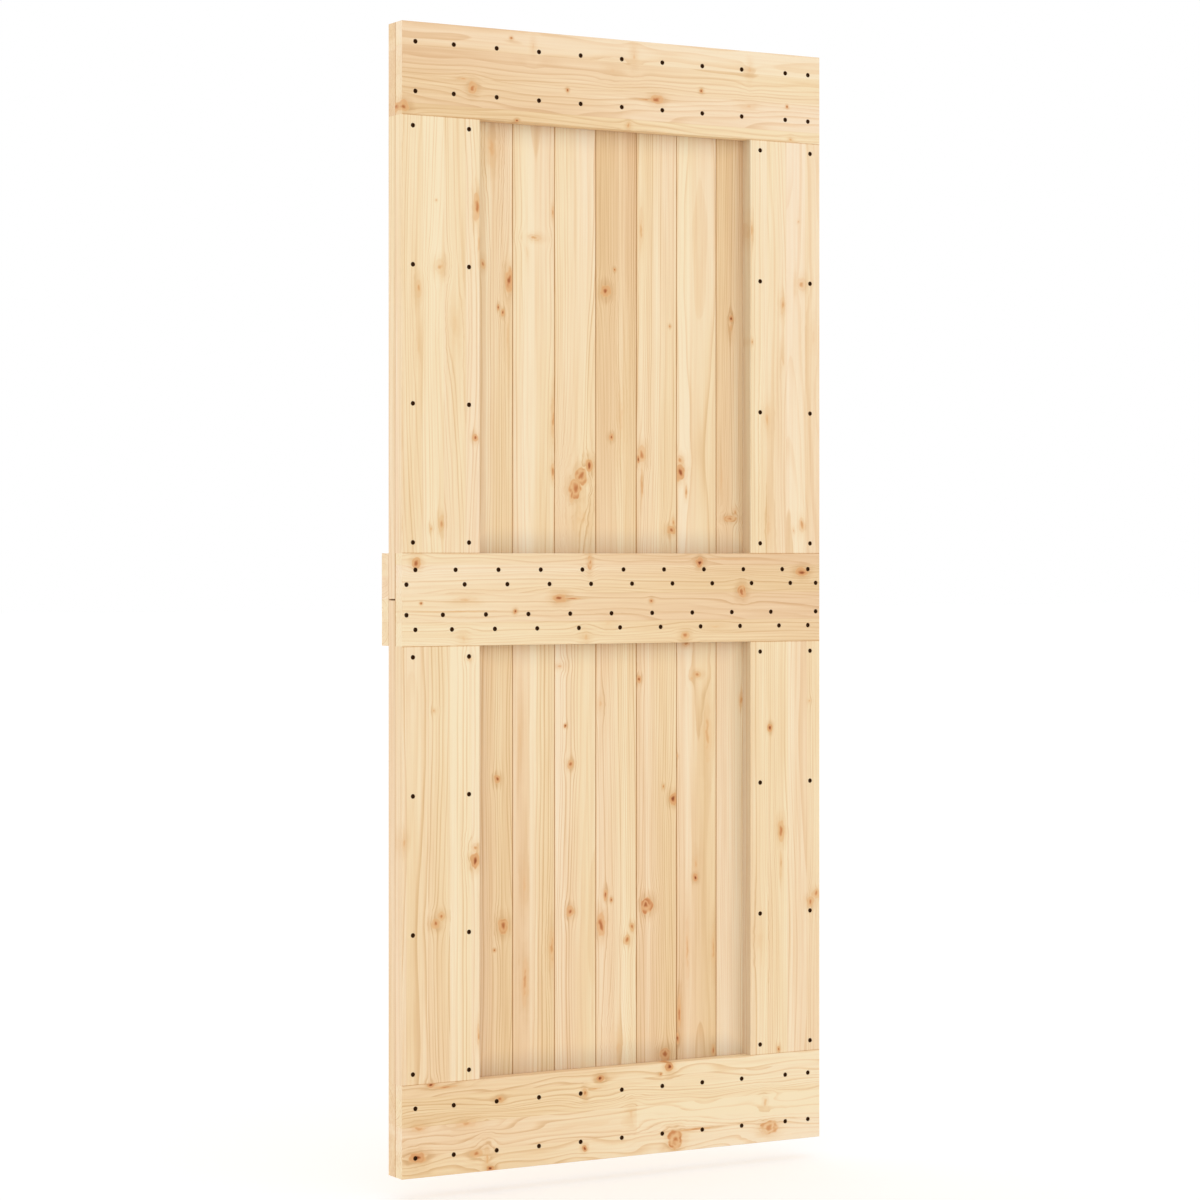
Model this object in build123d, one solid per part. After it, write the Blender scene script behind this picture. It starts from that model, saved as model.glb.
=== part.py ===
"""Framed pine door leaf: a face frame of rails and stiles screwed over vertical tongued planks.

Frame: X runs across the leaf, Y through it (the framed face looks along -Y), Z is up.
The origin is the middle of the leaf's top edge, half-way through frame and planks.
All lengths are in millimetres.
"""

import os

from build123d import *

# Leaf
DOOR_WIDTH = 900.0
DOOR_HEIGHT = 2085.0

# Boards of the face frame, and the ledge on the back
FRAME_THICKNESS = 28.0
RAIL_HEIGHT = 168.0
STILE_WIDTH = 158.0
EASED_EDGE = 0.8

# Planks, and the core rails that close their ends
PLANK_THICKNESS = 27.0
PLANK_PITCH = 88.2
FIRST_PLANK_WIDTH = 64.7
NARROWEST_PLANK = 20.0
PLANK_FACE_GAP = 0.5
PLANK_HALVES_GAP = 3.0
TONGUE_REACH = 8.0
TONGUE_THICKNESS = 8.0
TONGUE_CLEARANCE = 0.3
GROOVE_STOP = 12.0

# Sunk seats for the screw heads in the face frame
SCREW_SEAT_DIAMETER = 8.8
SCREW_SEAT_DEPTH = 3.0
SCREW_SEAT_SIDES = 16
RAIL_SCREW_END = 27.0
RAIL_SCREW_OUTER = 36.0
RAIL_SCREW_SPACING = 89.5
MIDDLE_SCREW_OUTER = 30.0
MIDDLE_SCREW_INNER = 56.5
MIDDLE_SCREW_END_INNER = 9.0
MIDDLE_ZIGZAG_NEAR = 3.7
MIDDLE_ZIGZAG_FAR = 22.2
STILE_SCREW_SIDE = 22.0
STILE_SCREW_END = 19.5
STILE_SCREW_ROWS = 4

# Where the layers lie through the leaf
FRONT_Y = -(FRAME_THICKNESS + PLANK_THICKNESS) / 2
PLANK_FRONT_Y = FRONT_Y + FRAME_THICKNESS
PLANK_BACK_Y = PLANK_FRONT_Y + PLANK_THICKNESS
TONGUE_Y = (PLANK_FRONT_Y + PLANK_BACK_Y) / 2
LEDGE_BACK_Y = PLANK_BACK_Y + FRAME_THICKNESS

# Where the boards lie across and up the leaf
LEFT_X = -DOOR_WIDTH / 2
RIGHT_X = DOOR_WIDTH / 2
TOP_Z = 0.0
BOTTOM_Z = -DOOR_HEIGHT
MIDDLE_Z = -DOOR_HEIGHT / 2
TOP_RAIL_FOOT_Z = TOP_Z - RAIL_HEIGHT
BOTTOM_RAIL_HEAD_Z = BOTTOM_Z + RAIL_HEIGHT
MIDDLE_RAIL_HEAD_Z = MIDDLE_Z + RAIL_HEIGHT / 2
MIDDLE_RAIL_FOOT_Z = MIDDLE_Z - RAIL_HEIGHT / 2


def block(x_span, y_span, z_span):
    """A plain rectangular solid between pairs of coordinates."""
    spans = (x_span, y_span, z_span)
    middle = [(low + high) / 2 for low, high in spans]
    size = [high - low for low, high in spans]
    return Pos(*middle) * Box(*size)


def eased_board(x_span, y_span, z_span, front=False, back=False):
    """A board with the sharp edges round its front or back face planed off."""
    board = block(x_span, y_span, z_span)
    faces = board.faces().sort_by(Axis.Y)
    edges = ShapeList()
    if front:
        edges += faces[0].edges()
    if back:
        edges += faces[-1].edges()
    return chamfer(edges, EASED_EDGE)


def screw_seat():
    """The tool that sinks one flat-bottomed seat, entering at the origin along +Y.

    A many-sided mouth stands for the drilled circle, which keeps the mesh of so many seats light.
    """
    mouth = Plane.XZ * RegularPolygon(SCREW_SEAT_DIAMETER / 2, SCREW_SEAT_SIDES)
    return extrude(mouth, -SCREW_SEAT_DEPTH)


def drilled(board, places):
    """The board with a screw seat at each (x, z) place in its front face."""
    seat = screw_seat()
    return board - [Pos(x, FRONT_Y, z) * seat for x, z in places]


def plank_lines():
    """The joint lines of the planks across the leaf, from its left edge to its right edge."""
    full_planks = int((DOOR_WIDTH - FIRST_PLANK_WIDTH - NARROWEST_PLANK) / PLANK_PITCH)
    first_joint = LEFT_X + FIRST_PLANK_WIDTH
    joints = [first_joint + count * PLANK_PITCH for count in range(full_planks + 1)]
    return [LEFT_X, *joints, RIGHT_X]


def stock_centres():
    """The middle of each uncut plank, its tongue included."""
    lines = plank_lines()
    faces = zip(lines[1:-2], lines[2:-1])
    return [(left + right - TONGUE_REACH) / 2 for left, right in faces]


def rail_screws(outer_z, inwards):
    """Two rows of screws along the top or bottom rail, one column to a plank.

    The last full plank's column stands over the middle of the right stile.
    """
    right_columns = [RIGHT_X - STILE_WIDTH / 2, RIGHT_X - RAIL_SCREW_END]
    columns = [LEFT_X + RAIL_SCREW_END, *stock_centres()[:-1], *right_columns]
    outer_row = outer_z + inwards * RAIL_SCREW_OUTER
    rows = (outer_row, outer_row + inwards * RAIL_SCREW_SPACING)
    return [(x, z) for z in rows for x in columns]


def middle_screws():
    """Four staggered rows: two rows hold the upper planks and two the lower ones."""
    places = []
    for side in (1, -1):
        edge_z = MIDDLE_Z + side * RAIL_HEIGHT / 2
        outer_row = edge_z - side * MIDDLE_SCREW_OUTER
        inner_row = edge_z - side * MIDDLE_SCREW_INNER
        for centre in stock_centres():
            places.append((centre + side * MIDDLE_ZIGZAG_NEAR, outer_row))
            places.append((centre + side * MIDDLE_ZIGZAG_FAR, inner_row))
        for end in (-1, 1):
            edge_x = end * DOOR_WIDTH / 2
            places.append((edge_x - end * RAIL_SCREW_END, outer_row))
            places.append((edge_x - end * MIDDLE_SCREW_END_INNER, inner_row))
    return places


def stile_screws(x_span, z_span):
    """Two columns of evenly spaced screws along a stile."""
    columns = (x_span[0] + STILE_SCREW_SIDE, x_span[1] - STILE_SCREW_SIDE)
    first, last = z_span[0] + STILE_SCREW_END, z_span[1] - STILE_SCREW_END
    step = (last - first) / (STILE_SCREW_ROWS - 1)
    return [(x, first + row * step) for x in columns for row in range(STILE_SCREW_ROWS)]


def core_rail(z_span, plank_side_z):
    """A rail in the planks' layer, with a groove along one edge that stops short of its ends."""
    board = eased_board(
        (LEFT_X, RIGHT_X), (PLANK_FRONT_Y, PLANK_BACK_Y), z_span, front=True, back=True
    )
    half = TONGUE_THICKNESS / 2 + TONGUE_CLEARANCE
    depth = TONGUE_REACH + TONGUE_CLEARANCE
    return board - block(
        (LEFT_X + GROOVE_STOP, RIGHT_X - GROOVE_STOP),
        (TONGUE_Y - half, TONGUE_Y + half),
        (plank_side_z - depth, plank_side_z + depth),
    )


def rails():
    """The three rails of the face frame, the ledge behind the middle one and the core rails."""
    width = (LEFT_X, RIGHT_X)
    face = (FRONT_Y, PLANK_FRONT_Y)
    ledge = (PLANK_BACK_Y, LEDGE_BACK_Y)
    head = (TOP_RAIL_FOOT_Z, TOP_Z)
    middle = (MIDDLE_RAIL_FOOT_Z, MIDDLE_RAIL_HEAD_Z)
    foot = (BOTTOM_Z, BOTTOM_RAIL_HEAD_Z)
    return {
        "top_rail": drilled(eased_board(width, face, head, front=True), rail_screws(TOP_Z, -1)),
        "middle_rail": drilled(eased_board(width, face, middle, front=True), middle_screws()),
        "bottom_rail": drilled(eased_board(width, face, foot, front=True), rail_screws(BOTTOM_Z, 1)),
        "top_core_rail": core_rail(head, TOP_RAIL_FOOT_Z),
        "bottom_core_rail": core_rail(foot, BOTTOM_RAIL_HEAD_Z),
        "middle_ledge": eased_board(width, ledge, middle, back=True),
    }


def stiles():
    """The four stiles, between the rails of the face frame at either edge of the leaf."""
    sides = {"left": (LEFT_X, LEFT_X + STILE_WIDTH), "right": (RIGHT_X - STILE_WIDTH, RIGHT_X)}
    heights = {
        "upper": (MIDDLE_RAIL_HEAD_Z, TOP_RAIL_FOOT_Z),
        "lower": (BOTTOM_RAIL_HEAD_Z, MIDDLE_RAIL_FOOT_Z),
    }
    made = {}
    for half, z_span in heights.items():
        for side, x_span in sides.items():
            board = eased_board(x_span, (FRONT_Y, PLANK_FRONT_Y), z_span, front=True)
            made[f"{half}_{side}_stile"] = drilled(board, stile_screws(x_span, z_span))
    return made


def plank(left, right, z_span, tongue_z_span):
    """One plank between two joint lines, tongued on its left and grooved on its right.

    The end at its core rail is tongued too. An edge that is also the leaf's edge is left plain.
    """
    at_left_edge = left == LEFT_X
    at_right_edge = right == RIGHT_X
    face_left = left if at_left_edge else left + PLANK_FACE_GAP / 2
    face_right = right if at_right_edge else right - PLANK_FACE_GAP / 2
    board = block((face_left, face_right), (PLANK_FRONT_Y, PLANK_BACK_Y), z_span)
    board = chamfer(board.edges().filter_by(Axis.Z), EASED_EDGE)
    half = TONGUE_THICKNESS / 2
    tongue = (TONGUE_Y - half, TONGUE_Y + half)
    stop = GROOVE_STOP + TONGUE_CLEARANCE
    end_left = left + stop if at_left_edge else face_left
    end_right = right - stop if at_right_edge else face_right
    board += block((end_left, end_right), tongue, tongue_z_span)
    if not at_left_edge:
        tip = face_left - PLANK_FACE_GAP - TONGUE_REACH
        board += block((tip, face_left), tongue, z_span)
    if not at_right_edge:
        half += TONGUE_CLEARANCE
        floor = face_right - TONGUE_REACH - TONGUE_CLEARANCE
        board -= block((floor, face_right), (TONGUE_Y - half, TONGUE_Y + half), tongue_z_span)
    return board


def planks():
    """The upper and lower rows of planks, butted at mid-height behind the middle rail."""
    upper_foot_z = MIDDLE_Z + PLANK_HALVES_GAP / 2
    lower_head_z = MIDDLE_Z - PLANK_HALVES_GAP / 2
    upper = (upper_foot_z, TOP_RAIL_FOOT_Z)
    lower = (BOTTOM_RAIL_HEAD_Z, lower_head_z)
    upper_tongued = (upper_foot_z, TOP_RAIL_FOOT_Z + TONGUE_REACH)
    lower_tongued = (BOTTOM_RAIL_HEAD_Z - TONGUE_REACH, lower_head_z)
    lines = plank_lines()
    made = {}
    for number, (left, right) in enumerate(zip(lines, lines[1:]), start=1):
        made[f"upper_plank_{number:02d}"] = plank(left, right, upper, upper_tongued)
        made[f"lower_plank_{number:02d}"] = plank(left, right, lower, lower_tongued)
    return made


os.makedirs("parts", exist_ok=True)
for name, solid in {**rails(), **stiles(), **planks()}.items():
    export_step(solid, f"parts/{name}.step")
print("plank joint lines", [round(line, 1) for line in plank_lines()])
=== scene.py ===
# %% [markdown]
# # A plank door leaf in bare pine
# The leaf is a face frame of rails and stiles, screwed over tongued planks. Its boards come from the CAD
# frame and keep their shape here. This lesson gives each board its own piece of pine, sinks a screw into
# every seat, and sets up the light, the floor and the camera.

import math
import random
from types import SimpleNamespace

import bmesh
import bpy
from mathutils import Matrix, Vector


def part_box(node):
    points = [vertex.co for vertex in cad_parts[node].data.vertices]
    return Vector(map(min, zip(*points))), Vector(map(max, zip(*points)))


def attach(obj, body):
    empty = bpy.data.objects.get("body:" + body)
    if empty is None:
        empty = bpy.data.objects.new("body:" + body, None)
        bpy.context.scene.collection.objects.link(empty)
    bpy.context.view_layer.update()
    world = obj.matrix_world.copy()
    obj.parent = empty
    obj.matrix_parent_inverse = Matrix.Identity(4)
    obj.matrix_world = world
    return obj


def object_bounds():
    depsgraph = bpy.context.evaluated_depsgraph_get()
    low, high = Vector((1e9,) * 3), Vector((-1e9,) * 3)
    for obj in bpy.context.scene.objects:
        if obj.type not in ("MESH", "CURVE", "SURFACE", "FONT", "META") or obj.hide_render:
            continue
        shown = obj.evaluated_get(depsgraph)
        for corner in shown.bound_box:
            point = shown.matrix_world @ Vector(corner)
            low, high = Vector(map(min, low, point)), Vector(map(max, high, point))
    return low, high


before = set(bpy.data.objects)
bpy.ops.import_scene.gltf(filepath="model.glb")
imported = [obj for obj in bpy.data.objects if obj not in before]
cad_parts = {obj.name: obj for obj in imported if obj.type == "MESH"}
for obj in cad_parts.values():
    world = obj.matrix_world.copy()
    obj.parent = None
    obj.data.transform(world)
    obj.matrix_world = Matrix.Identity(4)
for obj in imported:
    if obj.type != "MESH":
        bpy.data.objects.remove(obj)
cad_low, cad_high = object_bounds()
MM = 0.001
print("boards", len(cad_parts), "box in mm", [round(side / MM) for side in cad_high - cad_low])

# %% [markdown]
# ## Small helpers for shader nodes
# A wood shader is a long sum of simple steps. Written node by node it would hide the idea, so a few helpers
# add a node, feed it with numbers or with another node's output, and hand back its result.


# %% Node helpers
def feed(tree, socket, value):
    """Links another node's output into a socket, or writes a plain value there."""
    if isinstance(value, bpy.types.NodeSocket):
        tree.links.new(value, socket)
    else:
        socket.default_value = value


def calc(tree, operation, *values, clamp=False):
    """One Math node."""
    node = tree.nodes.new("ShaderNodeMath")
    node.operation = operation
    node.use_clamp = clamp
    for socket, value in zip(node.inputs, values):
        feed(tree, socket, value)
    return node.outputs[0]


def plus(tree, first, second):
    """The sum of two values."""
    return calc(tree, "ADD", first, second)


def minus(tree, first, second):
    """The first value less the second."""
    return calc(tree, "SUBTRACT", first, second)


def times(tree, first, second):
    """The product of two values."""
    return calc(tree, "MULTIPLY", first, second)


def apart(tree, first, second):
    """How far two values are apart."""
    return calc(tree, "ABSOLUTE", minus(tree, first, second))


def fade(tree, value, start, end, low=0.0, high=1.0):
    """A soft step from low to high while the value goes from start to end."""
    node = tree.nodes.new("ShaderNodeMapRange")
    node.interpolation_type = "SMOOTHSTEP"
    names = ("Value", "From Min", "From Max", "To Min", "To Max")
    for name, part in zip(names, (value, start, end, low, high)):
        feed(tree, node.inputs[name], part)
    return node.outputs["Result"]


def vector(tree, along, across, depth):
    """Three values as one vector."""
    node = tree.nodes.new("ShaderNodeCombineXYZ")
    for socket, value in zip(node.inputs, (along, across, depth)):
        feed(tree, socket, value)
    return node.outputs[0]


def parts(tree, source):
    """A vector as its three values."""
    node = tree.nodes.new("ShaderNodeSeparateXYZ")
    feed(tree, node.inputs[0], source)
    return node.outputs


def noise(tree, source, stretch, detail=2.0):
    """Noise that is stretched by other amounts along and across the grain."""
    scaled = tree.nodes.new("ShaderNodeVectorMath")
    scaled.operation = "MULTIPLY"
    feed(tree, scaled.inputs[0], source)
    scaled.inputs[1].default_value = stretch
    node = tree.nodes.new("ShaderNodeTexNoise")
    feed(tree, node.inputs["Vector"], scaled.outputs[0])
    node.inputs["Scale"].default_value = 1.0
    node.inputs["Detail"].default_value = detail
    return node.outputs


print("node helpers", [helper.__name__ for helper in (calc, apart, fade, vector, parts, noise)])

# %% [markdown]
# ## Groups and colours
# An effect that many boards share is built once, as a node group, and placed in each material with its own
# values. Colours are chosen as they look on a screen, but nodes reckon in linear light, so one helper
# turns the first into the second.

# %% Group and colour helpers
SOCKET_KINDS = {"Grain": "Vector", "Ragged": "Vector", "Color": "Color"}


def node_group(name, takes, gives):
    """An empty node group with named sockets, its input node's outputs and its output node's inputs."""
    tree = bpy.data.node_groups.new(name, "ShaderNodeTree")
    for in_out, sockets in (("INPUT", takes), ("OUTPUT", gives)):
        for socket in sockets:
            kind = SOCKET_KINDS.get(socket, "Float")
            tree.interface.new_socket(name=socket, in_out=in_out, socket_type=f"NodeSocket{kind}")
    start = tree.nodes.new("NodeGroupInput")
    end = tree.nodes.new("NodeGroupOutput")
    return tree, start.outputs, end.inputs


def place_group(tree, group, **values):
    """The group in another tree, with its inputs fed."""
    node = tree.nodes.new("ShaderNodeGroup")
    node.node_tree = group
    for name, value in values.items():
        feed(tree, node.inputs[name.replace("_", " ")], value)
    return node.outputs


def srgb(red, green, blue):
    """A colour as it is seen on a screen, turned into the linear light that nodes use."""
    levels = [level / 255 for level in (red, green, blue)]
    return (*[((level + 0.055) / 1.055) ** 2.4 for level in levels], 1.0)


print("one screen grey in linear light", round(srgb(128, 128, 128)[0], 3))

# %% [markdown]
# ## Knots
# A knot is a branch that the trunk grew around. It shows as a red-brown oval in a warmer patch, and the
# grain parts and flows round it. A painted spot would miss that second half. So this group gives three
# values: how deep a point lies in the knot, how warm the wood round it is, and how far the knot pushes the
# grain sideways. Wide knots also show a ring of bark. Knots are chained, and each adds its share to what it
# is given.

# %% Knot group
# distances from the knot's middle are in its own half sizes, so 1 is its outline
BODY_EDGE, BODY_DEPTH = (1.30, 0.85), 0.5
CORE_EDGE, CORE_DEPTH = (0.65, 0.10), 0.6
HALO_EDGE = (2.6, 0.6)
BARK_RING, BARK_EDGE = 0.85, (0.35, 0.05)
BARK_ROUGH, BARK_DEPTH = (-0.15, 0.15), (0.06, 0.40)
BARK_DARKNESS = (0.3, 0.6)
# half widths in metres from which a knot counts as wide, and how much paler it then is inside
WIDE_KNOT = (0.009, 0.013)
WIDE_BODY, WIDE_CORE = -0.15, -0.10
PUSH_SHARE, PUSH_FADE_ALONG, PUSH_FADE_ACROSS = -0.85, 0.12, 0.30


def knot_bark(tree, away, rough, wide, darkness):
    """A ragged ring of bark just inside the outline of a wide, dark knot."""
    to_bark = apart(tree, away, BARK_RING)
    bark = fade(tree, to_bark, *BARK_EDGE, 0.0, fade(tree, rough, *BARK_ROUGH, *BARK_DEPTH))
    shown = times(tree, wide, fade(tree, darkness, *BARK_DARKNESS))
    return times(tree, bark, shown)


def make_knot():
    """The group that adds one knot to a chain of them."""
    sums = ("Heart", "Halo", "Push")
    sizes = ("Knot Along", "Knot Across", "Half Length", "Half Width", "Darkness")
    tree, given, result = node_group("pine_knot", ("Grain", "Ragged", *sums, *sizes), sums)
    along, across, _ = parts(tree, given["Grain"])
    rough_along, rough_across, _ = parts(tree, given["Ragged"])
    from_along = minus(tree, along, given["Knot Along"])
    from_across = minus(tree, across, given["Knot Across"])
    unit_along = plus(tree, calc(tree, "DIVIDE", from_along, given["Half Length"]), rough_along)
    unit_across = plus(tree, calc(tree, "DIVIDE", from_across, given["Half Width"]), rough_across)
    square_along = times(tree, unit_along, unit_along)
    square_across = times(tree, unit_across, unit_across)
    away = calc(tree, "SQRT", plus(tree, square_along, square_across))
    wide = fade(tree, given["Half Width"], *WIDE_KNOT)
    body = fade(tree, away, *BODY_EDGE, 0.0, calc(tree, "MULTIPLY_ADD", wide, WIDE_BODY, BODY_DEPTH))
    core = fade(tree, away, *CORE_EDGE, 0.0, calc(tree, "MULTIPLY_ADD", wide, WIDE_CORE, CORE_DEPTH))
    bark = knot_bark(tree, away, rough_along, wide, given["Darkness"])
    inside = plus(tree, body, plus(tree, core, bark))
    inside = times(tree, inside, given["Darkness"])
    tree.links.new(calc(tree, "MAXIMUM", given["Heart"], inside), result["Heart"])
    warm = times(tree, fade(tree, away, *HALO_EDGE), given["Darkness"])
    tree.links.new(calc(tree, "MAXIMUM", given["Halo"], warm), result["Halo"])
    spread = times(tree, square_across, PUSH_FADE_ACROSS)
    spread = calc(tree, "MULTIPLY_ADD", square_along, PUSH_FADE_ALONG, spread)
    hump = calc(tree, "EXPONENT", times(tree, spread, -1.0))
    aside = times(tree, times(tree, from_across, PUSH_SHARE), hump)
    tree.links.new(plus(tree, given["Push"], aside), result["Push"])
    return tree


PINE_KNOT = make_knot()
print("knot group nodes", len(PINE_KNOT.nodes))

# %% [markdown]
# ## Growth rings
# Sawn pine shows its yearly rings as soft pale bands that end in a thin darker line. On a board they are a
# cut through nested cylinders. A stripe texture could fake the front, but then the end grain would not fit.
# Here the distance from the tree's pith gives the ring, so that faces, edges and ends all belong together.
# Slow and quick noise bend the rings, and another makes some years wider and darker than others.

# %% Ring group
# scales of the noises along the grain, across it and in depth
SLOW_BEND = (1.5, 5.0, 5.0)
QUICK_BEND = (9.0, 40.0, 40.0)
BROAD_STREAKS = (1.1, 26.0, 26.0)
FIBRES = (5.0, 210.0, 210.0)
# scales of the noises over the years: how unlike in width, and how unlike in strength
YEAR_WIDTHS, YEAR_LEAN = (0.37, 1.0, 1.0), 2.4
YEAR_STRENGTHS, STRENGTH_PLANE = (0.83, 1.0, 1.0), 4.0
STRENGTH_RANGE = (0.30, 0.72, 0.25, 1.25)
# parts of a year in which the late wood darkens, and in which it ends
LATE_RISE, LATE_FALL = (0.45, 0.92), (1.0, 0.94)
SEED_STRIDE = 3.71


def make_rings():
    """The group for late wood, broad streaks and fibres."""
    takes = ("Grain", "Push", "Seed", "Pith Across", "Pith Depth", "Ring Width", "Wander", "Waver")
    tree, given, result = node_group("pine_rings", takes, ("Late", "Broad", "Fibre"))
    along, across, depth = parts(tree, given["Grain"])
    shift = times(tree, given["Seed"], SEED_STRIDE)
    place = vector(tree, plus(tree, along, shift), plus(tree, across, given["Seed"]), depth)
    slow = minus(tree, noise(tree, place, SLOW_BEND, 0.0)[0], 0.5)
    quick = minus(tree, noise(tree, place, QUICK_BEND, 0.0)[0], 0.5)
    bend = times(tree, slow, given["Wander"])
    bend = calc(tree, "MULTIPLY_ADD", quick, given["Waver"], bend)
    beside = minus(tree, plus(tree, across, given["Push"]), given["Pith Across"])
    behind = minus(tree, depth, given["Pith Depth"])
    square = calc(tree, "MULTIPLY_ADD", beside, beside, times(tree, behind, behind))
    radius = plus(tree, calc(tree, "SQRT", square), bend)
    year = calc(tree, "DIVIDE", radius, given["Ring Width"])
    lean = noise(tree, vector(tree, year, given["Seed"], 0.0), YEAR_WIDTHS, 0.0)[0]
    year = calc(tree, "MULTIPLY_ADD", lean, YEAR_LEAN, year)
    season = calc(tree, "FRACT", year)
    rise = fade(tree, season, *LATE_RISE)
    fall = fade(tree, season, *LATE_FALL)
    strength = noise(tree, vector(tree, year, given["Seed"], STRENGTH_PLANE), YEAR_STRENGTHS, 0.0)[0]
    strength = fade(tree, strength, *STRENGTH_RANGE)
    late = times(tree, times(tree, rise, fall), strength)
    tree.links.new(late, result["Late"])
    tree.links.new(noise(tree, place, BROAD_STREAKS)[0], result["Broad"])
    tree.links.new(noise(tree, place, FIBRES)[0], result["Fibre"])
    return tree


PINE_RINGS = make_rings()
print("ring group nodes", len(PINE_RINGS.nodes))

# %% [markdown]
# ## Glued staves
# Wide pine boards cup, so rails and stiles are often glued up from narrow staves. Each stave is another
# piece of wood, with its own tone and its own rings. This group numbers the staves and the pieces along
# them, and turns each number into a random tone and a new place for the grain, with a fine glue line between.

# %% Stave group
STAVE_STAGGER = 3.0
GRAIN_JUMP = 7.3
GLUE_BAND = (0.0007, 0.0001)


def white_noise(tree, dimensions, source):
    """A random value for each vector of whole numbers."""
    node = tree.nodes.new("ShaderNodeTexWhiteNoise")
    node.noise_dimensions = dimensions
    feed(tree, node.inputs["Vector"], source)
    return node.outputs["Value"]


def make_staves():
    """The group that splits a glued board into its staves."""
    takes = ("Grain", "First Edge", "Stave Width", "Length", "Seed")
    tree, given, result = node_group("glued_staves", takes, ("Grain", "Shade", "Glue"))
    along, across, depth = parts(tree, given["Grain"])
    from_edge = minus(tree, across, given["First Edge"])
    counted = calc(tree, "DIVIDE", from_edge, given["Stave Width"])
    stave = calc(tree, "FLOOR", counted)
    stagger = white_noise(tree, "2D", vector(tree, stave, given["Seed"], 0.0))
    lengths = calc(tree, "DIVIDE", along, given["Length"])
    piece = calc(tree, "FLOOR", calc(tree, "MULTIPLY_ADD", stagger, STAVE_STAGGER, lengths))
    draw = white_noise(tree, "3D", vector(tree, stave, piece, given["Seed"]))
    tree.links.new(minus(tree, draw, 0.5), result["Shade"])
    middle = minus(tree, calc(tree, "FRACT", counted), 0.5)
    local = times(tree, middle, given["Stave Width"])
    moved = calc(tree, "MULTIPLY_ADD", draw, GRAIN_JUMP, along)
    tree.links.new(vector(tree, moved, local, depth), result["Grain"])
    to_joint = minus(tree, 0.5, calc(tree, "ABSOLUTE", middle))
    gap = times(tree, to_joint, given["Stave Width"])
    tree.links.new(fade(tree, gap, *GLUE_BAND), result["Glue"])
    return tree


GLUED_STAVES = make_staves()
print("stave group nodes", len(GLUED_STAVES.nodes))

# %% [markdown]
# ## Pine colours
# Bare pine runs from cream through straw to a warm tan, and its blue falls faster than its red. One ramp
# over a single darkness value keeps every streak inside that family. Knots take a second ramp that turns
# red-brown towards the heart. A slight change of hue and a grey tint of painted shade are multiplied on top.


# %% Colours
def ramp(tree, factor, stops):
    """One Color Ramp node, from pairs of a position and a colour."""
    node = tree.nodes.new("ShaderNodeValToRGB")
    feed(tree, node.inputs["Fac"], factor)
    elements = node.color_ramp.elements
    while len(elements) < len(stops):
        elements.new(0.5)
    for element, (position, colour) in zip(elements, stops):
        element.position = position
        element.color = colour
    return node.outputs["Color"]


DARKEST_TONE = 1.8
WOOD_TONES = (
    (0.0, srgb(252, 232, 202)),
    (0.25, srgb(249, 224, 190)),
    (0.5, srgb(244, 213, 174)),
    (0.75, srgb(237, 202, 160)),
    (1.0, srgb(229, 190, 146)),
    (1.8, srgb(205, 155, 105)),
)
KNOT_TONES = (
    (0.0, srgb(242, 206, 160)),
    (0.3, srgb(234, 184, 132)),
    (0.6, srgb(209, 139, 88)),
    (0.85, srgb(158, 86, 49)),
    (1.0, srgb(84, 45, 25)),
)
print("wood tones", len(WOOD_TONES), "knot tones", len(KNOT_TONES))

# %% Colour group
KNOT_COVER = (0.0, 0.45)
# tints from a rosy hue to straw, and the grey of the painted shade
HUE_TINTS = ((0.3, (1.0, 0.988, 0.99, 1.0)), (0.7, (0.992, 1.0, 0.925, 1.0)))
PAINTED_SHADE_TINT = (0.80, 0.83, 0.89, 1.0)
FIBRE_DULLNESS, PLAIN_ROUGHNESS, KNOT_GLOSS = 0.22, 0.46, -0.14


def blend(tree, kind, factor, first, second):
    """One colour Mix node."""
    node = tree.nodes.new("ShaderNodeMix")
    node.data_type = "RGBA"
    node.blend_type = kind
    for socket, value in (("Factor", factor), ("A", first), ("B", second)):
        feed(tree, node.inputs[socket], value)
    return node.outputs["Result"]


def make_colours():
    """The group that turns a tone and its masks into the finish of the wood."""
    takes = ("Darkness", "Heart", "Fibre", "Warmth", "Dust")
    tree, given, result = node_group("pine_colours", takes, ("Color", "Roughness", "Height"))
    darkness = calc(tree, "DIVIDE", given["Darkness"], DARKEST_TONE, clamp=True)
    wood = ramp(tree, darkness, [(tone / DARKEST_TONE, colour) for tone, colour in WOOD_TONES])
    knot = ramp(tree, given["Heart"], KNOT_TONES)
    colour = blend(tree, "MIX", fade(tree, given["Heart"], *KNOT_COVER), wood, knot)
    colour = blend(tree, "MULTIPLY", 1.0, colour, ramp(tree, given["Warmth"], HUE_TINTS))
    # painted shade: the wood turns grey where the shade mask is set, in panel corners and on the stiles'
    # inner sides
    colour = blend(tree, "MULTIPLY", given["Dust"], colour, PAINTED_SHADE_TINT)
    tree.links.new(colour, result["Color"])
    dull = calc(tree, "MULTIPLY_ADD", given["Fibre"], FIBRE_DULLNESS, PLAIN_ROUGHNESS)
    tree.links.new(calc(tree, "MULTIPLY_ADD", given["Heart"], KNOT_GLOSS, dull), result["Roughness"])
    tree.links.new(given["Fibre"], result["Height"])
    return tree


PINE_COLOURS = make_colours()
print("colour group nodes", len(PINE_COLOURS.nodes))

# %% [markdown]
# ## Every board its own tree
# No two boards of the leaf match: some planks are pale, some tan, and each has knots where its branches
# stood. A table per board keeps that choice in one place. Tones run from the start to the end of the grain,
# that is from left to right in a rail and upwards in a plank or stile. The pith lies beside and behind the
# board's middle, in millimetres. Glued boards have a pith in every stave, so here theirs is 0 across. A pale
# strip stands for sapwood.

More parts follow.
